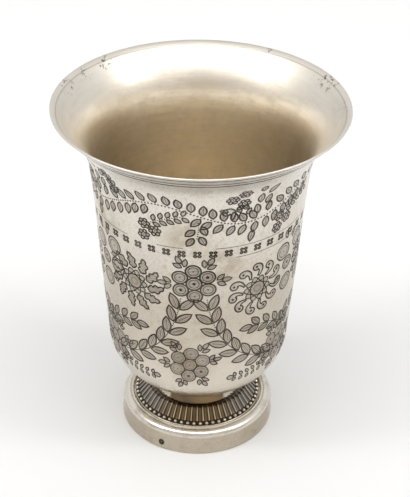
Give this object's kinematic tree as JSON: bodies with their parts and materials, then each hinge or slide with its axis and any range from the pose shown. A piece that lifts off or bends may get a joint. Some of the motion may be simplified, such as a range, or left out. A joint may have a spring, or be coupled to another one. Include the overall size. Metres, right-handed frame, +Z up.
{
  "type": "footed beaker",
  "caption": "Tall silver tulip beaker with a flared lip, an engraved body and a moulded pedestal foot.",
  "frame": {"origin": "centre of the foot's underside, on the beaker's axis", "axes": "+Z up along the beaker's axis, through the open mouth; -Y is the side that faces the viewer"},
  "size_m": [0.09, 0.09, 0.115],
  "materials": {
    "engraved_silver": "warm worn silver, soft polish, with dark lines in the engraving",
    "polished_silver": "warm silver, polished, with fine wear",
    "struck_silver": "silver with dark tarnish in the hollows of the struck relief and bright ridges"
  },
  "bodies": {
    "root": {"bowl": "engraved_silver", "collar": "polished_silver", "foot_frieze": "struck_silver", "foot_ring": "polished_silver"}
  },
  "joints": []
}
